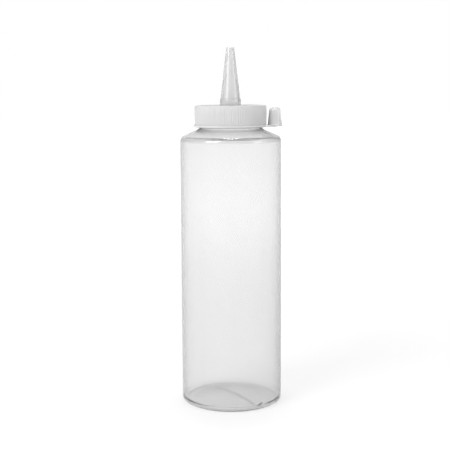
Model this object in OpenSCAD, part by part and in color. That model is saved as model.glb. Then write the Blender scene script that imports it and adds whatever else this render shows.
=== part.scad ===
// Dispensing sauce bottle with a screw cap, a cone nozzle and a tethered tip cap.
// Origin at the centre of the base, +Z up, millimetres. The tip cap is parked on the +X side.

/* [Bottle] */
// Outer diameter of the bottle body
body_d = 70; // [56:1:90]
// Height of the bottle from its base to the foot of the neck
body_h = 192.5; // [140:0.5:240]
// Wall of the bottle body
wall = 0.8; // [0.6:0.1:1.4]
// Slope of the shoulder above the horizontal, in degrees
shoulder_slope = 25; // [15:1:40]
// Radius that joins the shoulder to the side wall
shoulder_round = 4; // [2:0.5:8]
// Radius of the heel at the base
heel_round = 3; // [2:0.5:6]
// Radius of the hollow under the base
punt_r = 27; // [18:1:29]
// Height of the hollow under the base
punt_h = 3; // [1.5:0.5:6]

/* [Neck] */
// Outer diameter of the neck between its threads
neck_d = 43; // [34:0.5:48]
// Wall of the neck
neck_wall = 1.3; // [1:0.1:2]
// Height of the neck above the shoulder
neck_h = 12.8; // [9:0.1:18]
// Radius of the hollow turn from the shoulder into the neck
neck_root = 1.2; // [0.6:0.1:1.6]
// Rounding of the neck's rim
lip_round = 0.4; // [0.2:0.1:0.5]

/* [Screw cap] */
// Room between the neck and the inside of the skirt, which the threads fill
thread_room = 1.8; // [1.4:0.1:2.6]
// Wall of the skirt
skirt_wall = 1.6; // [1.3:0.1:2.4]
// Thickness of the cap's top plate
plate_t = 1.5; // [1:0.1:2.5]
// Gap between the foot of the skirt and the foot of the neck
skirt_gap = 0.7; // [0.4:0.1:2]
// Rounding of the cap's top edge
cap_round = 0.7; // [0.3:0.1:1.2]
// Number of grip ribs round the skirt
rib_count = 100; // [40:2:110]
// How far the ribs stand out from the skirt
rib_depth = 0.3; // [0.1:0.05:0.4]
// Radius of the ribs' rounded backs
rib_round = 0.45; // [0.42:0.01:0.5]
// Height of the smooth band between the ring's groove and the ribs
foot_band = 0.9; // [0.5:0.1:2]

/* [Nozzle] */
// Height of the nozzle above the cap's top plate
nozzle_h = 39.5; // [25:0.5:60]
// Outer diameter of the cone at its foot
nozzle_foot_d = 13.4; // [11:0.1:18]
// Outer diameter of the cone at its tip
nozzle_tip_d = 5.5; // [5:0.1:7]
// Height of the collar at the foot of the cone
collar_h = 4.6; // [2.5:0.1:8]
// How far the collar stands out from the cone
collar_step = 0.45; // [0.3:0.05:0.8]
// Wall of the cone
nozzle_wall = 1.1; // [0.9:0.1:1.6]
// Diameter of the hole at the tip
orifice_d = 2.8; // [2:0.1:3]
// Thickness of the flange that the cap clamps on the neck
flange_t = 1.1; // [0.8:0.1:1.6]

/* [Tether] */
// Radial width of the ring that runs in the groove of the skirt
ring_w = 0.85; // [0.7:0.05:1.2]
// Height of the ring and of the strap
ring_h = 1.2; // [1:0.1:1.8]
// Height of the bead below the ring that keeps it on the skirt
bead_h = 0.5; // [0.4:0.1:1]
// Radial width of the strap
strap_w = 0.8; // [0.6:0.05:1.4]
// Width of the tab between the strap and the tip cap
tab_w = 3.2; // [2:0.1:4]
// Direction in which the strap leaves the skirt, in degrees before the tip cap
tab_angle = 14; // [10:1:25]

/* [Tip cap] */
// Height of the tip cap
tip_cap_h = 12.9; // [9:0.1:16]
// Wall of the tip cap
tip_cap_wall = 0.9; // [0.7:0.1:1.4]
// Gap between the parked tip cap and the tether ring
park_gap = 0.7; // [0.5:0.1:3]
// Rounding of the tip cap's closed end
tip_cap_round = 1.6; // [0.8:0.1:2]

/* [Fit] */
// Clearance of the nozzle in the cap's hole
press_gap = 0.05; // [0.03:0.01:0.1]
// Running clearance of the ring in its groove
ring_gap = 0.1; // [0.05:0.01:0.2]
// Gap between pieces that may touch only when they move
free_gap = 0.3; // [0.2:0.05:0.5]

/* [Hidden] */
$fn = 96;
eps = 0.01;

body_r = body_d / 2;
neck_r = neck_d / 2;
neck_top = body_h + neck_h;

skirt_in = neck_r + thread_room;
skirt_r = skirt_in + skirt_wall;
skirt_foot = body_h + skirt_gap;
flange_z = neck_top + free_gap;
plate_z = flange_z + flange_t;
cap_top = plate_z + plate_t;

nozzle_tip = cap_top + nozzle_h;
nozzle_foot_r = nozzle_foot_d / 2;
nozzle_tip_r = nozzle_tip_d / 2;
collar_r = nozzle_foot_r + collar_step;
collar_top = cap_top + collar_h;
cone_h = nozzle_tip - collar_top;
taper = (nozzle_foot_r - nozzle_tip_r) / cone_h;
rim_round = nozzle_wall / 2;
flange_r = neck_r - free_gap;

ring_z = skirt_foot + bead_h;
ring_out = skirt_r - free_gap / 3;
ring_in = ring_out - ring_w;
groove_r = ring_in - ring_gap;
bead_r = groove_r + 0.4;
rib_foot = ring_z + ring_h + ring_gap + foot_band;
rib_root_r = skirt_r - rib_depth;
// the ribs stay just inside the foot band and end below the rounded edge
rib_out = skirt_r - 0.05;
rib_top = cap_top - cap_round - 0.3;
strap_in = ring_out + free_gap;
strap_out = strap_in + strap_w;

mouth_r = nozzle_tip_r + taper * tip_cap_h + tip_cap_wall;
mouth_in = mouth_r - tip_cap_wall;
crown_r = mouth_r - taper * tip_cap_h;
park_x = ring_out + park_gap + mouth_r;
mouth_z = ring_z;
tip_cap_top = mouth_z + tip_cap_h;
mouth_flange_h = 0.9;
mouth_flange_r = mouth_r + 0.1;
tab_t = 0.8;

// Half profile of the bottle, pulled in by `inset`, with the neck radius and the radius of its root given
module bottle_half(inset, neck, root, top) {
    side = body_r - inset;
    round_r = shoulder_round - inset;
    heel_r = heel_round - inset;
    neck_foot = body_h - inset;
    corner_z = neck_foot - (side - neck) * tan(shoulder_slope);
    // the arcs' centres lie where the arcs touch the lines on both of their sides
    arc_x = side - round_r;
    arc_z = corner_z - round_r * tan((90 - shoulder_slope) / 2);
    root_x = neck + root;
    root_z = neck_foot + root / cos(shoulder_slope) - root * tan(shoulder_slope);
    difference() {
        union() {
            polygon([
                [0, inset],
                [side - heel_r, inset],
                [side, inset + heel_r],
                [side, arc_z],
                [arc_x + round_r * sin(shoulder_slope), arc_z + round_r * cos(shoulder_slope)],
                [root_x - root * sin(shoulder_slope), root_z - root * cos(shoulder_slope)],
                [root_x, root_z],
                [neck, root_z],
                [neck, top],
                [0, top]
            ]);
            translate([side - heel_r, inset + heel_r]) circle(heel_r);
            translate([arc_x, arc_z]) circle(round_r);
        }
        translate([root_x, root_z]) circle(root, $fn = 64);
    }
}

// Blow-moulded bottle: side wall, shoulder, neck with a rounded rim, and a hollow base
module bottle() {
    dome_r = (punt_r * punt_r + punt_h * punt_h) / (2 * punt_h);
    color([0.93, 0.94, 0.94, 0.6])
    difference() {
        rotate_extrude($fn = 180)
        intersection() {
            difference() {
                union() {
                    bottle_half(0, neck_r, neck_root, neck_top - lip_round);
                    square([neck_r - lip_round, neck_top]);
                    translate([neck_r - lip_round, neck_top - lip_round]) circle(lip_round, $fn = 32);
                }
                difference() {
                    bottle_half(wall, neck_r - neck_wall, neck_root + wall, neck_top + 1);
                    translate([0, punt_h - dome_r]) circle(dome_r + wall, $fn = 360);
                }
            }
            square([body_r, neck_top]);
        }
        translate([0, 0, punt_h - dome_r]) sphere(dome_r, $fn = 360);
    }
}

// Half-round grip ribs standing on the skirt, between a foot height and a top height
module grip_ribs(foot, top) {
    for (i = [0 : rib_count - 1])
        rotate([0, 0, i * 360 / rib_count])
        translate([rib_out - rib_round, 0, foot]) cylinder(r = rib_round, h = top - foot, $fn = 12);
}

// Outline of the cap: smooth band at the foot, wall between the ribs and rounded top edge
module cap_outline() {
    polygon([
        [0, skirt_foot],
        [skirt_r, skirt_foot],
        [skirt_r, rib_foot],
        [rib_root_r, rib_foot],
        [rib_root_r, cap_top - cap_round],
        [rib_root_r - cap_round, cap_top],
        [0, cap_top]
    ]);
    translate([rib_root_r - cap_round, cap_top - cap_round]) circle(cap_round, $fn = 48);
}

// Injection-moulded screw cap with a groove for the tether ring
module screw_cap() {
    color([0.86, 0.88, 0.88, 0.85])
    union() {
        rotate_extrude($fn = 180)
        difference() {
            cap_outline();
            square([skirt_in, plate_z]);
            square([collar_r + press_gap, cap_top + 1]);
            translate([groove_r, ring_z - ring_gap]) square([skirt_wall, ring_h + 2 * ring_gap]);
            translate([bead_r, skirt_foot - eps]) square([skirt_wall, bead_h]);
        }
        grip_ribs(rib_foot - 0.1, rib_top);
    }
}

// Cone nozzle: flange under the plate, collar through it and a hollow cone
module nozzle() {
    bore_foot_r = nozzle_foot_r - nozzle_wall;
    orifice_r = orifice_d / 2;
    rim_x = nozzle_tip_r - rim_round;
    color([0.93, 0.94, 0.94, 0.7])
    rotate_extrude($fn = 96)
    difference() {
        union() {
            translate([0, flange_z]) square([flange_r, flange_t]);
            polygon([
                [0, flange_z],
                [collar_r, flange_z],
                [collar_r, collar_top - collar_step],
                [nozzle_foot_r, collar_top],
                [nozzle_tip_r, nozzle_tip - rim_round],
                [rim_x, nozzle_tip],
                [0, nozzle_tip]
            ]);
            translate([rim_x, nozzle_tip - rim_round]) circle(rim_round, $fn = 32);
        }
        polygon([
            [0, flange_z - 1],
            [bore_foot_r, flange_z - 1],
            [bore_foot_r, collar_top],
            [orifice_r, nozzle_tip + 1],
            [0, nozzle_tip + 1]
        ]);
    }
}

// Ring that carries the tether and lets the cap turn in it
module tether_ring() {
    color([0.84, 0.86, 0.86, 0.9])
    rotate_extrude($fn = 180)
    translate([ring_in, ring_z]) square([ring_w, ring_h]);
}

// Strap that lies round the front of the skirt, with the tab that carries the tip cap
module tether_strap() {
    arc_span = 180 - tab_angle;
    tab_start = [strap_in * cos(tab_angle), -strap_in * sin(tab_angle)];
    tab_end = [park_x, -mouth_flange_r + tab_w / 2];
    tab_run = tab_end - tab_start;
    color([0.84, 0.86, 0.86, 0.9]) {
        difference() {
            union() {
                translate([0, 0, ring_z]) rotate([0, 0, 180])
                rotate_extrude(angle = arc_span, $fn = 180)
                translate([strap_in, 0]) square([strap_w, ring_h]);
                translate([tab_start[0], tab_start[1], ring_z])
                rotate([0, 0, atan2(tab_run[1], tab_run[0])])
                translate([0, -tab_w / 2, 0]) cube([norm(tab_run), tab_w, tab_t]);
            }
            translate([0, 0, ring_z - 1]) cylinder(r = strap_in, h = ring_h + 2, $fn = 180);
            translate([park_x, 0, ring_z - 1])
            cylinder(r = mouth_flange_r + free_gap, h = ring_h + 2);
        }
    }
}

// Tip cap, open below, whose inside has the taper of the nozzle
module tip_cap() {
    crown_x = crown_r - tip_cap_round;
    color([0.88, 0.9, 0.9, 0.85])
    translate([park_x, 0, mouth_z])
    rotate_extrude($fn = 72)
    difference() {
        union() {
            polygon([
                [0, 0],
                [mouth_r, 0],
                [crown_r, tip_cap_h - tip_cap_round],
                [crown_x, tip_cap_h],
                [0, tip_cap_h]
            ]);
            square([mouth_flange_r, mouth_flange_h]);
            translate([crown_x, tip_cap_h - tip_cap_round]) circle(tip_cap_round, $fn = 48);
        }
        polygon([
            [0, -1],
            [mouth_in + taper, -1],
            [mouth_in - taper * (tip_cap_h - tip_cap_wall), tip_cap_h - tip_cap_wall],
            [0, tip_cap_h - tip_cap_wall]
        ]);
    }
}

bottle();
screw_cap();
nozzle();
tether_ring();
tether_strap();
tip_cap();
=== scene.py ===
"""Looks of the dispensing sauce bottle: its plastics, threads, grip ribs and mould marks,
with the camera, the floor and the light."""
import math
import bpy
from mathutils import Matrix, Vector


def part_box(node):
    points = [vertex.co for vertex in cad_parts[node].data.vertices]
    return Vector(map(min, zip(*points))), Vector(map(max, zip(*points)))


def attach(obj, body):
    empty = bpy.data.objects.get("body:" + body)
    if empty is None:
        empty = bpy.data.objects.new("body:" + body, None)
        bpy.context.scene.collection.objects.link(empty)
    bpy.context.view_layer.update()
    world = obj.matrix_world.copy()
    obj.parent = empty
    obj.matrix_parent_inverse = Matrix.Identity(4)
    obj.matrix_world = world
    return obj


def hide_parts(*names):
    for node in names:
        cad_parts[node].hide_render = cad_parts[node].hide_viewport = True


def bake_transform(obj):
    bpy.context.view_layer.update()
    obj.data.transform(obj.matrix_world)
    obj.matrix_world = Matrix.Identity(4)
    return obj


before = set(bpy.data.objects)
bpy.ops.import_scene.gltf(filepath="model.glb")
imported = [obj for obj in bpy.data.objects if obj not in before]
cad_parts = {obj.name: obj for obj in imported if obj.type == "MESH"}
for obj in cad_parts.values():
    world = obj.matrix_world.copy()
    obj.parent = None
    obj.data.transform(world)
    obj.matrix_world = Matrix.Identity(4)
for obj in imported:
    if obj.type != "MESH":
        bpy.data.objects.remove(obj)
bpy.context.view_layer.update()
MM = 0.001
TAU = 2 * math.pi

# Places taken from the frame, in metres
_, bottle_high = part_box("bottle")
cap_low, cap_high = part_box("screw_cap")
nozzle_low, nozzle_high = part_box("nozzle")
ring_low, ring_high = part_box("tether_ring")
tip_low, tip_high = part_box("tip_cap")
BODY_R, NECK_TOP = bottle_high.x, bottle_high.z
SKIRT_R, CAP_FOOT, CAP_TOP = cap_high.x, cap_low.z, cap_high.z
FLANGE_R, FLANGE_Z, NOZZLE_TIP = nozzle_high.x, nozzle_low.z, nozzle_high.z
RING_OUT, RING_Z, RING_TOP = ring_high.x, ring_low.z, ring_high.z
PARK_X = (tip_low.x + tip_high.x) / 2
MOUTH_FLANGE_R = (tip_high.x - tip_low.x) / 2
MOUTH_Z, TIP_CAP_TOP = tip_low.z, tip_high.z

# Bottle, in metres as all sizes below
WALL = 0.8 * MM
BASE_WALL = 1.1 * MM
HEEL_ROUND = 3 * MM
INNER_HEEL = 4.2 * MM
PUNT_R = 27 * MM
PUNT_H = 3 * MM
SHOULDER_SLOPE_DEG = 25
SHOULDER_SLOPE = math.radians(SHOULDER_SLOPE_DEG)
SHOULDER_ROUND = 4 * MM
NECK_R = 21.5 * MM
NECK_WALL = 1.3 * MM
NECK_FOOT = NECK_TOP - 12.8 * MM
NECK_ROOT = 1.2 * MM
LIP_ROUND = 0.4 * MM
DOME_EDGE_R = PUNT_R - 1.5 * MM
FOOT_EASE, FOOT_EASE_Z = 0.6 * MM, 0.12 * MM
HEEL_STEPS, SIDE_STEPS, SHOULDER_STEPS, SLOPE_STEPS, ROOT_STEPS = 10, 40, 14, 14, 8

# Threads, each with the height where it starts, its turns and the direction in which it starts
THREAD_PITCH = 4 * MM
THREAD_DEPTH = 1.2 * MM
THREAD_OVERLAP = 0.05 * MM
NECK_THREAD_Z, NECK_THREAD_TURNS, NECK_THREAD_DEG = NECK_FOOT + 2.6 * MM, 1.75, 200
CAP_THREAD_Z, CAP_THREAD_TURNS, CAP_THREAD_DEG = CAP_FOOT + 3.6 * MM, 1.5, 140

# Screw cap and its grip ribs
SKIRT_IN = SKIRT_R - 1.6 * MM
PLATE_Z = CAP_TOP - 1.5 * MM
CAP_ROUND = 0.7 * MM
FOOT_BAND = 0.9 * MM
RIBS = 100
STEPS_PER_RIB = 12
RIB_ROUND = 0.45 * MM
RIB_OUT = SKIRT_R - 0.05 * MM
RIB_ROOT_R = SKIRT_R - 0.3 * MM
RIB_END_GAP = 0.3 * MM

# Nozzle
COLLAR_R = 7.15 * MM
COLLAR_TOP = CAP_TOP + 4.6 * MM
COLLAR_STEP = 0.45 * MM
NOZZLE_FOOT_R = 6.7 * MM
NOZZLE_TIP_R = 2.75 * MM
NOZZLE_WALL = 1.1 * MM
ORIFICE_R = 1.4 * MM
ORIFICE_ROUND = 0.35 * MM
FLANGE_T = 1.1 * MM
TAPER = (NOZZLE_FOOT_R - NOZZLE_TIP_R) / (NOZZLE_TIP - COLLAR_TOP)

# Tether ring in its groove, strap and tip cap
RING_W = 0.85 * MM
RING_GAP = 0.1 * MM
GROOVE_R = RING_OUT - RING_W - RING_GAP
BEAD_R = GROOVE_R + 0.4 * MM
STRAP_IN = RING_OUT + 0.3 * MM
STRAP_W = 0.8 * MM
STRAP_LEAVES = math.radians(-14)
STRAP_LOOSE = 0.6 * MM
STRAP_STEPS, LOOSE_STEPS = 90, 60
TAB_HALF_W = 1.4 * MM
TAB_H = 0.8 * MM
TAB_SAG = 0.5 * MM
TAB_LIFT = 0.02 * MM
TAB_REACH = 1.2 * MM
TAB_BOW, TAB_BOW_SHARE = 0.8 * MM, 0.45
TAB_WIDENS, TAB_THINS = 1.6, 1.3
TAB_STEPS, TAB_OVERLAP_STEPS = 16, 6
ROOT_R, ROOT_TOP_R = 1.7 * MM, 1.5 * MM
ROOT_LIFT, ROOT_EDGE = 0.05 * MM, 0.3 * MM
ROOT_OUT = 0.35 * MM
ROOT_STRETCH = (0.35, 1.6, 1, 1)
TIP_CAP_WALL = 0.9 * MM
TIP_CAP_ROUND = 1.6 * MM
CROWN_START_DEG, CROWN_SHARE = 6, 0.9

# Mould marks: the parting plane of the bottle, measured from the front towards the tip cap, with the ridge
# that it leaves on the wall, the weld across the base and the lumps where the weld meets the heel
PARTING = math.radians(37) - math.pi / 2
RIDGE, RIDGE_W = 0.12 * MM, 0.25 * MM
WELD_UNDER, WELD_INSIDE, WELD_W = 0.6 * MM, 0.5 * MM, 0.45 * MM
WELD_SHARE = 0.8
WELD_END = 0.7 * MM
LUMP, LUMP_W, LUMP_Z = 0.7 * MM, 2.2 * MM, 3 * MM
LUMP_RISE, LUMP_TOP = 0.3, 9 * MM
# Further angles beside the parting plane, so that its marks are smooth
PARTING_STEPS_DEG = (0.15, 0.35, 0.6, 0.9, 1.3)


# Shapes


def arc(centre_r, centre_z, radius, start_deg, end_deg, steps):
    """Points (r, z) along a round stretch of a profile, both ends included."""
    angles = [math.radians(start_deg + (end_deg - start_deg) * i / steps) for i in range(steps + 1)]
    return [(centre_r + radius * math.cos(a), centre_z + radius * math.sin(a)) for a in angles]


def line(start, end, steps):
    """Points (r, z) from start to end, without the first."""
    (r0, z0), (r1, z1) = start, end
    return [(r0 + (r1 - r0) * i / steps, z0 + (z1 - z0) * i / steps) for i in range(1, steps + 1)]


def even_angles(count):
    return [TAU * i / count for i in range(count)]


def make(name, verts, faces, sharp_deg=40):
    """A smooth-shaded piece that keeps edges sharper than sharp_deg."""
    mesh = bpy.data.meshes.new(name)
    mesh.from_pydata(verts, [], faces)
    mesh.validate()
    for face in mesh.polygons:
        face.use_smooth = True
    mesh.set_sharp_from_angle(angle=math.radians(sharp_deg))
    piece = bpy.data.objects.new(name, mesh)
    bpy.context.scene.collection.objects.link(piece)
    return piece


def lathe(name, profile, angles, shift=None, loop=False):
    """A closed solid of revolution. The profile runs up the outside and down the inside."""
    verts, rings, faces = [], [], []
    for r, z in profile:
        if r < 1e-7:
            rings.append([len(verts)])
            verts.append((0, 0, z))
            continue
        first = len(verts)
        for a in angles:
            rr, zz = shift(r, z, a) if shift else (r, z)
            verts.append((rr * math.cos(a), rr * math.sin(a), zz))
        rings.append(list(range(first, len(verts))))
    count = len(angles)
    pairs = list(zip(rings, rings[1:]))
    if loop:
        pairs.append((rings[-1], rings[0]))
    for low, high in pairs:
        for j in range(count):
            k = (j + 1) % count
            if len(low) == 1 and len(high) == 1:
                continue
            if len(low) == 1:
                faces.append((low[0], high[k], high[j]))
            elif len(high) == 1:
                faces.append((low[j], low[k], high[0]))
            else:
                faces.append((low[j], low[k], high[k], high[j]))
    return make(name, verts, faces)


def dress(piece, material):
    piece.data.materials.clear()
    piece.data.materials.append(material)


# Shader nodes


def grey(value):
    return value, value, value, 1


def add_node(nodes, kind, **values):
    """A shader node with some inputs set. An underscore in an input's name stands for a space."""
    made = nodes.new("ShaderNode" + kind)
    for name, value in values.items():
        made.inputs[name.replace("_", " ")].default_value = value
    return made


def maths(nodes, links, operation, *values):
    """The result of a Math node whose values are numbers or other nodes' outputs."""
    made = nodes.new("ShaderNodeMath")
    made.operation = operation
    for socket, value in zip(made.inputs, values):
        if isinstance(value, (int, float)):
            socket.default_value = value
        else:
            links.new(value, socket)
    return made.outputs["Value"]


def mix_shaders(nodes, links, first, second, factor=None):
    """An even mix of two shaders, or as much of the second as factor says."""
    made = nodes.new("ShaderNodeMixShader")
    if factor is not None:
        links.new(factor, made.inputs["Fac"])
    links.new(first, made.inputs[1])
    links.new(second, made.inputs[2])
    return made.outputs["Shader"]


# Materials

PLASTIC_IOR = 1.51
CLOUD_SCALE, CLOUD_DETAIL = 45, 4
GRAIN_DETAIL, GRAIN_SHARE = 3, 0.35
RELIEF_DEPTH = 0.2 * MM
GLOSS_DOWN, GLOSS_UP = 0.06, 0.08
SLANT_POWER = 4.5
WALL_TINT = 0.55
# Share of the slant haze left at the bottle's heel and neck, so that these shaded zones come out brighter:
# painted light
END_SHARE = 0.15


def lighten_shaded_ends(nodes, links, place, cloudiness, ends):
    """Cloudiness that fades to a small share of itself from each end's cloudy height to its clear one. This
    is painted light: it makes the heel and the neck, which lie in shade, come out brighter.
    """
    split = nodes.new("ShaderNodeSeparateXYZ")
    links.new(place.outputs["Object"], split.inputs["Vector"])
    for clear, cloudy in ends:
        fade = add_node(nodes, "MapRange", From_Min=clear, From_Max=cloudy, To_Min=END_SHARE)
        links.new(split.outputs["Z"], fade.inputs["Value"])
        cloudiness = maths(nodes, links, "MULTIPLY", cloudiness, fade.outputs["Result"])
    return cloudiness


def plastic(name, light, dark, transmission, roughness, milk, density, rim, haze, relief,
            streak=(1, 1, 1), grain=900, shade_lightened_ends=None):
    """Milky moulded polyethylene: cloudy colour, uneven gloss and a fine moulded grain. The share of light
    that is scattered grows from milk, seen straight on, by rim, seen at a slant, and haze is its grey. A
    grey tint grows with the wall's thickness and with density."""
    material = bpy.data.materials.new(name)
    material.use_nodes = True
    nodes, links = material.node_tree.nodes, material.node_tree.links
    shader = nodes["Principled BSDF"]
    shader.inputs["IOR"].default_value = PLASTIC_IOR
    shader.inputs["Transmission Weight"].default_value = transmission

    place = nodes.new("ShaderNodeTexCoord")
    stretch = add_node(nodes, "Mapping", Scale=streak)
    links.new(place.outputs["Object"], stretch.inputs["Vector"])
    clouds = add_node(nodes, "TexNoise", Scale=CLOUD_SCALE, Detail=CLOUD_DETAIL)
    links.new(stretch.outputs["Vector"], clouds.inputs["Vector"])
    tint = nodes.new("ShaderNodeMix")
    tint.data_type = "RGBA"
    tint.inputs["A"].default_value = grey(light)
    tint.inputs["B"].default_value = grey(dark)
    links.new(clouds.outputs["Fac"], tint.inputs["Factor"])
    links.new(tint.outputs["Result"], shader.inputs["Base Color"])

    gloss = add_node(nodes, "MapRange", To_Min=roughness - GLOSS_DOWN, To_Max=roughness + GLOSS_UP)
    links.new(clouds.outputs["Fac"], gloss.inputs["Value"])
    links.new(gloss.outputs["Result"], shader.inputs["Roughness"])

    fine = add_node(nodes, "TexNoise", Scale=grain, Detail=GRAIN_DETAIL)
    links.new(place.outputs["Object"], fine.inputs["Vector"])
    height = maths(nodes, links, "MULTIPLY_ADD", fine.outputs["Fac"], GRAIN_SHARE, clouds.outputs["Fac"])
    bump = add_node(nodes, "Bump", Strength=relief, Distance=RELIEF_DEPTH)
    links.new(height, bump.inputs["Height"])
    links.new(bump.outputs["Normal"], shader.inputs["Normal"])

    through = add_node(nodes, "BsdfTranslucent", Color=grey(haze))
    back = add_node(nodes, "BsdfDiffuse", Color=grey(haze))
    scatter = mix_shaders(nodes, links, through.outputs["BSDF"], back.outputs["BSDF"])
    slant = add_node(nodes, "LayerWeight", Blend=0.5)
    cloudiness = maths(nodes, links, "POWER", slant.outputs["Facing"], SLANT_POWER)
    # Painted light: the haze fades at the shaded heel and neck so that they come out brighter
    if shade_lightened_ends:
        cloudiness = lighten_shaded_ends(nodes, links, place, cloudiness, shade_lightened_ends)
    amount = maths(nodes, links, "MULTIPLY_ADD", cloudiness, rim, milk)
    surface = mix_shaders(nodes, links, shader.outputs["BSDF"], scatter, amount)
    wall_tint = add_node(nodes, "VolumeAbsorption", Color=grey(WALL_TINT), Density=density)
    out = nodes["Material Output"]
    links.new(surface, out.inputs["Surface"])
    links.new(wall_tint.outputs["Volume"], out.inputs["Volume"])
    return material


# The bottle's haze fades at the heel and at the neck under the cap, which lie in shade, so that they come
# out brighter: painted light
bottle_plastic = plastic("bottle_plastic", light=0.998, dark=0.985, transmission=0.95, roughness=0.12,
                         milk=0.03, density=140, rim=0.85, haze=0.6, relief=0.008, streak=(1, 1, 0.12),
                         grain=500, shade_lightened_ends=((5 * MM, 9 * MM), (190 * MM, 184 * MM)))
cap_plastic = plastic("cap_plastic", light=0.83, dark=0.79, transmission=0.5, roughness=0.5, milk=0.3,
                      density=60, rim=0.4, haze=0.75, relief=0.2)
nozzle_plastic = plastic("nozzle_plastic", light=0.99, dark=0.97, transmission=0.85, roughness=0.2, milk=0.1,
                         density=130, rim=0.85, haze=0.52, relief=0.06)
tether_plastic = plastic("tether_plastic", light=0.92, dark=0.88, transmission=0.5, roughness=0.3, milk=0.25,
                         density=60, rim=0.4, haze=0.75, relief=0.06)
tip_plastic = plastic("tip_cap_plastic", light=0.98, dark=0.96, transmission=0.75, roughness=0.2, milk=0.28,
                      density=60, rim=0.6, haze=0.7, relief=0.06)


# Bottle

DOME_R = (PUNT_R ** 2 + PUNT_H ** 2) / (2 * PUNT_H)
DOME_Z = PUNT_H - DOME_R


def dome(r, radius):
    """Height of the hollow base's dome at r, for the radius of its lower or upper face."""
    return DOME_Z + math.sqrt(radius ** 2 - r ** 2)


def bottle_side(side, neck, foot, round_r, heel_r, root, floor_z):
    """Outer or inner profile of the bottle's side, from the floor's edge up to the neck."""
    slope = math.tan(SHOULDER_SLOPE)
    corner_z = foot - (side - neck) * slope
    arc_z = corner_z - round_r * math.tan((math.pi / 2 - SHOULDER_SLOPE) / 2)
    points = arc(side - heel_r, floor_z + heel_r, heel_r, -90, 0, HEEL_STEPS)
    points += line(points[-1], (side, arc_z), SIDE_STEPS)
    points += arc(side - round_r, arc_z, round_r, 0, 90 - SHOULDER_SLOPE_DEG, SHOULDER_STEPS)[1:]
    root_z = foot + root / math.cos(SHOULDER_SLOPE) - root * slope
    turn = arc(neck + root, root_z, root, -90 - SHOULDER_SLOPE_DEG, -180, ROOT_STEPS)
    points += line(points[-1], turn[0], SLOPE_STEPS)
    points += turn[1:]
    return points


def bottle_profile():
    under_steps, floor_steps = 27, 18
    profile = [(0, PUNT_H)]
    for i in range(1, under_steps + 1):
        r = DOME_EDGE_R * i / under_steps
        profile.append((r, dome(r, DOME_R)))
    profile += [(PUNT_R - FOOT_EASE, FOOT_EASE_Z), (PUNT_R + FOOT_EASE, 0)]
    profile += bottle_side(BODY_R, NECK_R, NECK_FOOT, SHOULDER_ROUND, HEEL_ROUND, NECK_ROOT, 0)
    rim = LIP_ROUND
    profile += line(profile[-1], (NECK_R, NECK_TOP - rim), 8)
    profile += arc(NECK_R - rim, NECK_TOP - rim, rim, 0, 90, 4)[1:]
    inner = bottle_side(BODY_R - WALL, NECK_R - NECK_WALL, NECK_FOOT - WALL,
                        SHOULDER_ROUND - WALL, INNER_HEEL, NECK_ROOT + WALL, BASE_WALL)
    profile += [(NECK_R - NECK_WALL + rim * 0.6, NECK_TOP), (NECK_R - NECK_WALL, NECK_TOP - rim)]
    profile += list(reversed(inner))
    for i in range(floor_steps, 0, -1):
        r = PUNT_R * i / floor_steps
        profile.append((r, dome(r, DOME_R + BASE_WALL)))
    profile.append((0, PUNT_H + BASE_WALL))
    return profile


def mould_marks(r, z, a):
    """Moves a point of the bottle for the base's weld, the lumps at its ends and the parting ridge."""
    across = r * math.sin(a - PARTING)
    on_base = r < PUNT_R - WELD_END and z < PUNT_H + 2 * BASE_WALL
    if on_base:
        under = dome(r, DOME_R)
        weld = math.exp(-(across / WELD_W) ** 2)
        on_lower_face = z < under + 0.3 * BASE_WALL
        if on_lower_face:
            return r, z - min(WELD_UNDER, WELD_SHARE * under) * weld
        return r, z + WELD_INSIDE * weld
    in_heel = PUNT_R < r < BODY_R - 0.9 * WALL and 0.9 * BASE_WALL < z < LUMP_TOP
    if in_heel:
        along = math.cos(a - PARTING) ** 2
        from_seam = math.hypot(across, z - LUMP_Z) / LUMP_W
        lump = LUMP * math.exp(-from_seam ** 2) * along
        return r - lump, z + LUMP_RISE * lump
    on_side = r > BODY_R - 0.01 * MM
    on_shoulder = HEEL_ROUND < z < NECK_FOOT and r > BODY_R - 0.5 * WALL
    if on_side or on_shoulder:
        return r + RIDGE * math.exp(-(across / RIDGE_W) ** 2), z
    return r, z


def make_bottle():
    angles = set(even_angles(240))
    for side in (PARTING, PARTING + math.pi):
        angles.add(side % TAU)
        for step in PARTING_STEPS_DEG:
            angles |= {(side + math.radians(step)) % TAU, (side + math.radians(-step)) % TAU}
    bottle = lathe("bottle_shell", bottle_profile(), sorted(angles), mould_marks)
    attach(bottle, "bottle")
    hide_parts("bottle")
    dress(bottle, bottle_plastic)


def thread(name, root_r, crest_r, start_z, turns, start_deg):
    """A screw thread's ridge that fades in and out. It faces outwards if crest_r is over root_r."""
    steps_per_turn = 72
    count = int(turns * steps_per_turn)
    half_root, half_crest = 0.95 * MM, 0.45 * MM
    fades_per_turn, least = 8, 0.08
    outwards = crest_r > root_r
    verts, faces = [], []
    for i in range(count + 1):
        t = i / count
        fade = min(1, t * turns * fades_per_turn, (1 - t) * turns * fades_per_turn)
        a = math.radians(start_deg) + TAU * turns * t
        z = start_z + THREAD_PITCH * turns * t
        crest = root_r + (crest_r - root_r) * max(fade, least)
        corners = [(root_r, -half_root), (crest, -half_crest), (crest, half_crest), (root_r, half_root)]
        verts += [(r * math.cos(a), r * math.sin(a), z + dz) for r, dz in corners]
    for i in range(count):
        b = i * 4
        for j in range(4):
            k = (j + 1) % 4
            faces.append((b + j, b + 4 + j, b + 4 + k, b + k))
    faces += [(0, 1, 2, 3), tuple(count * 4 + j for j in (3, 2, 1, 0))]
    if not outwards:
        faces = [tuple(reversed(face)) for face in faces]
    return make(name, verts, faces, sharp_deg=50)


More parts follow.
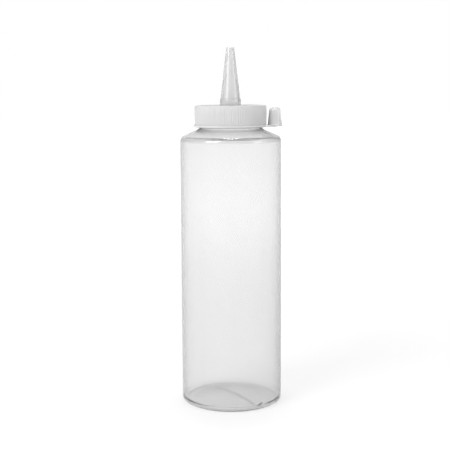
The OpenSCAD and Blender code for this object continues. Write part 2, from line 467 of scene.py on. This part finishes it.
def make_threads():
    neck = thread("neck_thread", NECK_R - THREAD_OVERLAP, NECK_R + THREAD_DEPTH,
                  NECK_THREAD_Z, NECK_THREAD_TURNS, NECK_THREAD_DEG)
    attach(neck, "bottle")
    dress(neck, bottle_plastic)
    cap = thread("cap_thread", SKIRT_IN + THREAD_OVERLAP, SKIRT_IN - THREAD_DEPTH,
                 CAP_THREAD_Z, CAP_THREAD_TURNS, CAP_THREAD_DEG)
    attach(cap, "cap")
    dress(cap, cap_plastic)


# Screw cap and nozzle


def make_screw_cap():
    hole_r = COLLAR_R + 0.05 * MM
    groove_low, groove_high = RING_Z - RING_GAP, RING_TOP + RING_GAP
    rib_low, rib_high = groove_high + FOOT_BAND, CAP_TOP - CAP_ROUND - RIB_END_GAP
    bead_edge, band_edge, hole_edge, plate_edge = 0.15 * MM, 0.1 * MM, 0.2 * MM, 0.5 * MM
    mouth_edge, mouth_edge_z = 0.2 * MM, 0.3 * MM
    band_ease, band_ease_z, rib_fade = 0.02 * MM, 0.04 * MM, 0.15 * MM
    profile = [(SKIRT_IN + mouth_edge, CAP_FOOT)]
    profile += [(BEAD_R - bead_edge, CAP_FOOT), (BEAD_R, CAP_FOOT + bead_edge)]
    profile += [(BEAD_R, groove_low), (GROOVE_R, groove_low), (GROOVE_R, groove_high)]
    profile += [(SKIRT_R - band_edge, groove_high), (SKIRT_R, groove_high + band_edge)]
    profile += [(SKIRT_R, rib_low - band_edge), (SKIRT_R - band_ease, rib_low - band_ease_z)]
    rib_rows = [(RIB_ROOT_R, rib_low)]
    rib_rows += line(rib_rows[0], (RIB_ROOT_R, rib_high - rib_fade), 8)
    profile += rib_rows
    profile += [(RIB_ROOT_R, rib_high), (RIB_ROOT_R, CAP_TOP - CAP_ROUND)]
    profile += arc(RIB_ROOT_R - CAP_ROUND, CAP_TOP - CAP_ROUND, CAP_ROUND, 0, 90, 6)[1:]
    profile += line(profile[-1], (hole_r + hole_edge, CAP_TOP), 8)
    profile += [(hole_r, CAP_TOP - hole_edge), (hole_r, PLATE_Z)]
    profile += line(profile[-1], (SKIRT_IN - plate_edge, PLATE_Z), 6)
    profile += [(SKIRT_IN, PLATE_Z - plate_edge), (SKIRT_IN, CAP_FOOT + mouth_edge_z)]
    ribbed = set(rib_rows)

    def ribs(r, z, a):
        """Moves a point of the ribbed rows out to the half-round rib that covers its angle."""
        if (r, z) not in ribbed:
            return r, z
        pitch = TAU / RIBS
        across = abs((a + pitch / 2) % pitch - pitch / 2) * RIB_OUT
        if across >= RIB_ROUND:
            return r, z
        back = RIB_OUT - RIB_ROUND + math.sqrt(RIB_ROUND ** 2 - across ** 2)
        return max(r, back), z

    cap = lathe("screw_cap_skirt", profile, even_angles(RIBS * STEPS_PER_RIB), ribs, loop=True)
    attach(cap, "cap")
    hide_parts("screw_cap")
    dress(cap, cap_plastic)


def make_nozzle():
    rim = NOZZLE_WALL * 0.5
    bore_foot = NOZZLE_FOOT_R - NOZZLE_WALL
    edge, bore_edge = 0.2 * MM, 0.4 * MM
    ease_r, ease_z = 0.7 * COLLAR_STEP, 0.4 * COLLAR_STEP
    flange_top = FLANGE_Z + FLANGE_T
    profile = [(bore_foot + bore_edge, FLANGE_Z)]
    profile += line(profile[-1], (FLANGE_R - edge, FLANGE_Z), 6)
    profile += [(FLANGE_R, FLANGE_Z + edge), (FLANGE_R, flange_top - edge), (FLANGE_R - edge, flange_top)]
    profile += line(profile[-1], (COLLAR_R, flange_top), 6)
    profile += line(profile[-1], (COLLAR_R, COLLAR_TOP - COLLAR_STEP), 5)
    profile += [(NOZZLE_FOOT_R + ease_r, COLLAR_TOP - ease_z), (NOZZLE_FOOT_R, COLLAR_TOP)]
    profile += line(profile[-1], (NOZZLE_TIP_R, NOZZLE_TIP - rim), 40)
    profile += arc(NOZZLE_TIP_R - rim, NOZZLE_TIP - rim, rim, 0, 90, 8)[1:]
    profile += arc(ORIFICE_R + ORIFICE_ROUND, NOZZLE_TIP - ORIFICE_ROUND, ORIFICE_ROUND, 90, 180, 5)
    profile += line(profile[-1], (bore_foot, COLLAR_TOP), 40)
    profile += line(profile[-1], (bore_foot, FLANGE_Z + bore_edge), 5)
    nozzle = lathe("cone_nozzle", profile, even_angles(96), loop=True)
    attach(nozzle, "cap")
    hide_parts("nozzle")
    dress(nozzle, nozzle_plastic)


# Tether


def make_ring():
    edge = 0.12 * MM
    inner = RING_OUT - RING_W
    profile = [(inner + edge, RING_Z), (RING_OUT - edge, RING_Z), (RING_OUT, RING_Z + edge)]
    profile += [(RING_OUT, RING_TOP - edge), (RING_OUT - edge, RING_TOP)]
    profile += [(inner + edge, RING_TOP), (inner, RING_TOP - edge), (inner, RING_Z + edge)]
    ring = lathe("tether_ring_band", profile, even_angles(180), loop=True)
    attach(ring, "tether")
    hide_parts("tether_ring")
    dress(ring, tether_plastic)


def sweep(name, path, half_widths, heights, bottoms):
    """A flat strap with eased edges along a level path. Each point has its own width, height and bottom."""
    verts, faces = [], []
    ease = 0.22
    section = [(-1 + ease, 0), (1 - ease, 0), (1, ease), (1, 1 - ease)]
    section += [(1 - ease, 1), (-1 + ease, 1), (-1, 1 - ease), (-1, ease)]
    for i, (x, y) in enumerate(path):
        x0, y0 = path[max(i - 1, 0)]
        x1, y1 = path[min(i + 1, len(path) - 1)]
        run = math.hypot(x1 - x0, y1 - y0)
        side_x, side_y = (y1 - y0) / run, -(x1 - x0) / run
        for s, h in section:
            out = s * half_widths[i]
            verts.append((x + side_x * out, y + side_y * out, bottoms[i] + h * heights[i]))
    n = len(section)
    for i in range(len(path) - 1):
        for j in range(n):
            k = (j + 1) % n
            faces.append((i * n + j, (i + 1) * n + j, (i + 1) * n + k, i * n + k))
    last = (len(path) - 1) * n
    faces.append(tuple(range(n)))
    faces.append(tuple(range(last + n - 1, last - 1, -1)))
    return make(name, verts, faces)


def make_strap():
    """The band from its root at the left round the front. It lies loosest on the stretch that bends most."""
    band_h = RING_TOP - RING_Z
    mid_r = STRAP_IN + STRAP_W / 2
    start = -math.pi
    path = []
    for i in range(STRAP_STEPS + 1):
        a = start + (STRAP_LEAVES - start) * i / STRAP_STEPS
        r = mid_r + STRAP_LOOSE * math.sin(math.pi * min(1, i / LOOSE_STEPS)) ** 2
        path.append((r * math.cos(a), r * math.sin(a)))
    points = len(path)
    strap = sweep("tether_strap_band", path, [STRAP_W / 2] * points, [band_h] * points, [RING_Z] * points)
    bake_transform(strap)
    dress(strap, tether_plastic)
    make_tab(Vector(path[-TAB_OVERLAP_STEPS]), band_h)
    make_root()


def make_tab(begin, band_h):
    """The flared tab from the band's end to the front of the tip cap's mouth."""
    end = Vector((PARK_X, -MOUTH_FLANGE_R + TAB_REACH))
    middle = begin + (end - begin) * TAB_BOW_SHARE + Vector((TAB_BOW, 0))
    path, half_widths, heights, bottoms = [], [], [], []
    for i in range(TAB_STEPS + 1):
        t = i / TAB_STEPS
        flare = min(1, t * TAB_WIDENS)
        point = begin * (1 - t) ** 2 + middle * 2 * t * (1 - t) + end * t ** 2
        path.append((point.x, point.y))
        half_widths.append(STRAP_W / 2 + (TAB_HALF_W - STRAP_W / 2) * flare)
        heights.append(band_h + (TAB_H - band_h) * min(1, t * TAB_THINS))
        bottoms.append(RING_Z + TAB_LIFT - TAB_SAG * flare)
    tab = sweep("tether_tab", path, half_widths, heights, bottoms)
    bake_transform(tab)
    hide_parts("tether_strap")
    dress(tab, tether_plastic)


def make_root():
    """The small block that joins the band to the ring."""
    low = RING_Z + ROOT_LIFT
    profile = [(0, low), (ROOT_TOP_R, low), (ROOT_R, RING_Z + ROOT_EDGE)]
    profile += [(ROOT_R, RING_TOP - ROOT_EDGE), (ROOT_TOP_R, RING_TOP), (0, RING_TOP)]
    root = lathe("tether_root", profile, even_angles(32))
    place = Matrix.Translation((-(RING_OUT + ROOT_OUT), 0, 0))
    root.data.transform(place @ Matrix.Diagonal(ROOT_STRETCH))
    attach(root, "tether")
    dress(root, tether_plastic)


def make_tip_cap():
    height = TIP_CAP_TOP - MOUTH_Z
    mouth_r = NOZZLE_TIP_R + TAPER * height + TIP_CAP_WALL
    crown_r = mouth_r - TAPER * height
    flange_h = 0.9 * MM
    edge = 0.15 * MM
    foot_in, foot_up = 0.02 * MM, 0.1 * MM
    mouth_in = mouth_r - TIP_CAP_WALL
    ceiling = height - TIP_CAP_WALL
    profile = [(mouth_in + edge, 0), (MOUTH_FLANGE_R - edge, 0), (MOUTH_FLANGE_R, edge)]
    profile += [(MOUTH_FLANGE_R, flange_h - edge), (MOUTH_FLANGE_R - edge, flange_h)]
    profile += [(mouth_r - TAPER * flange_h - foot_in, flange_h + foot_up)]
    crown_foot_r = crown_r + TAPER * TIP_CAP_ROUND * CROWN_SHARE
    profile += line(profile[-1], (crown_foot_r, height - TIP_CAP_ROUND), 12)
    profile += arc(crown_r - TIP_CAP_ROUND, height - TIP_CAP_ROUND, TIP_CAP_ROUND, CROWN_START_DEG, 90, 10)
    profile += [(0, height)]
    top_inner = mouth_in - TAPER * ceiling
    ceiling_round, ceiling_edge = 0.7 * MM, 0.2 * MM
    profile += [(0, ceiling), (top_inner - ceiling_round, ceiling)]
    profile += [(top_inner - ceiling_edge, ceiling - ceiling_edge), (top_inner, ceiling - ceiling_round)]
    profile += line(profile[-1], (mouth_in, edge), 12)
    profile = [(r, z + MOUTH_Z) for r, z in profile]
    tip = lathe("tip_cap_hat", profile, even_angles(72), loop=True)
    tip.data.transform(Matrix.Translation((PARK_X, 0, 0)))
    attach(tip, "tip")
    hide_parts("tip_cap")
    dress(tip, tip_plastic)


# Camera at the photograph's viewing angle, fitted to the body's sides, the base's outline and the shoulder

FRAME_PX = 450
SENSOR_W = 36
CAM_POS = Vector((-5.36, -697.9, 224.18)) * MM
CAM_PITCH = math.radians(7.26)
CAM_YAW = -0.0017
CAM_ROLL = math.radians(0.318)
FOCAL_PX = 1005.5
CENTRE_ROW = 210


def make_camera():
    data = bpy.data.cameras.new("camera")
    data.sensor_width = SENSOR_W
    data.lens = FOCAL_PX / FRAME_PX * SENSOR_W
    data.shift_y = (CENTRE_ROW - FRAME_PX / 2) / FRAME_PX
    camera = bpy.data.objects.new("camera", data)
    turn = Matrix.Rotation(CAM_YAW, 4, "Z") @ Matrix.Rotation(math.pi / 2 - CAM_PITCH, 4, "X")
    turn = turn @ Matrix.Rotation(-CAM_ROLL, 4, "Z")
    camera.matrix_world = Matrix.Translation(CAM_POS) @ turn
    bpy.context.scene.collection.objects.link(camera)
    bpy.context.scene.camera = camera


# Stage and light

FLOOR_HALF = 6
FLOOR_DROP = 0.1 * MM
PAPER, FAINT_PAPER = 0.8, 0.25
NEAR_GLOW = 0.67
GLOW_STARTS, GLOW_FULL = 0.15, 1.2
WORLD_LIGHT = 0.6
# Each lamp's name, place, the point it is aimed at, size in metres and power in watts
LAMPS = (
    ("key_left", (-0.9, -0.9, 0.9), (0, 0, 0.12), (0.8, 1.0), 20),
    ("fill_right", (1.1, -0.5, 0.6), (0, 0, 0.12), (0.6, 0.9), 6),
    ("top", (0, 0.22, 1.3), (0, 0, 0.1), (0.35, 0.3), 6.5),
)


def sees_white(nodes, links):
    """1 for the rays that should see the white background: camera, glossy and transmission rays."""
    path = nodes.new("ShaderNodeLightPath").outputs
    direct = maths(nodes, links, "MAXIMUM", path["Is Camera Ray"], path["Is Glossy Ray"])
    return maths(nodes, links, "MAXIMUM", direct, path["Is Transmission Ray"])


def make_floor():
    """Paper that lights the object as plain paper does. Where it is seen it glows, a little less close to
    the object, so that it is white but for the object's faint shadow."""
    h = FLOOR_HALF
    floor = make("floor", [(-h, -h, 0), (h, -h, 0), (h, h, 0), (-h, h, 0)], [(0, 1, 2, 3)])
    floor.location.z = -FLOOR_DROP
    material = bpy.data.materials.new("floor_paper")
    material.use_nodes = True
    nodes, links = material.node_tree.nodes, material.node_tree.links
    nodes.clear()
    paper = add_node(nodes, "BsdfDiffuse", Color=grey(PAPER))
    faint = add_node(nodes, "BsdfDiffuse", Color=grey(FAINT_PAPER))
    place = nodes.new("ShaderNodeTexCoord")
    away = nodes.new("ShaderNodeVectorMath")
    away.operation = "LENGTH"
    links.new(place.outputs["Object"], away.inputs[0])
    glow = add_node(nodes, "MapRange", From_Min=GLOW_STARTS, From_Max=GLOW_FULL, To_Min=NEAR_GLOW, To_Max=1)
    glow.interpolation_type = "SMOOTHSTEP"
    links.new(away.outputs["Value"], glow.inputs["Value"])
    white = nodes.new("ShaderNodeEmission")
    links.new(glow.outputs["Result"], white.inputs["Strength"])
    pale = nodes.new("ShaderNodeAddShader")
    links.new(faint.outputs["BSDF"], pale.inputs[0])
    links.new(white.outputs["Emission"], pale.inputs[1])
    seen = sees_white(nodes, links)
    surface = mix_shaders(nodes, links, paper.outputs["BSDF"], pale.outputs["Shader"], seen)
    out = nodes.new("ShaderNodeOutputMaterial")
    links.new(surface, out.inputs["Surface"])
    floor.data.materials.append(material)


def make_world():
    world = bpy.data.worlds.new("studio")
    bpy.context.scene.world = world
    world.use_nodes = True
    nodes, links = world.node_tree.nodes, world.node_tree.links
    light = nodes["Background"]
    light.inputs["Color"].default_value = grey(1)
    light.inputs["Strength"].default_value = WORLD_LIGHT
    white = add_node(nodes, "Background", Color=grey(1), Strength=1)
    seen = sees_white(nodes, links)
    surface = mix_shaders(nodes, links, light.outputs["Background"], white.outputs["Background"], seen)
    links.new(surface, nodes["World Output"].inputs["Surface"])


def make_softbox(name, place, aim, size, power):
    """A white area lamp that isn't seen itself, directly or through the clear walls."""
    data = bpy.data.lights.new(name, "AREA")
    data.shape = "RECTANGLE"
    data.size, data.size_y = size
    data.energy = power
    lamp = bpy.data.objects.new(name, data)
    lamp.location = place
    lamp.rotation_mode = "QUATERNION"
    lamp.rotation_quaternion = (Vector(aim) - Vector(place)).to_track_quat("-Z", "Y")
    lamp.visible_camera = False
    lamp.visible_transmission = False
    bpy.context.scene.collection.objects.link(lamp)


make_camera()
make_bottle()
make_threads()
make_screw_cap()
make_nozzle()
make_ring()
make_strap()
make_tip_cap()
make_floor()
make_world()
for lamp in LAMPS:
    make_softbox(*lamp)

bpy.context.scene.view_settings.view_transform = "Standard"
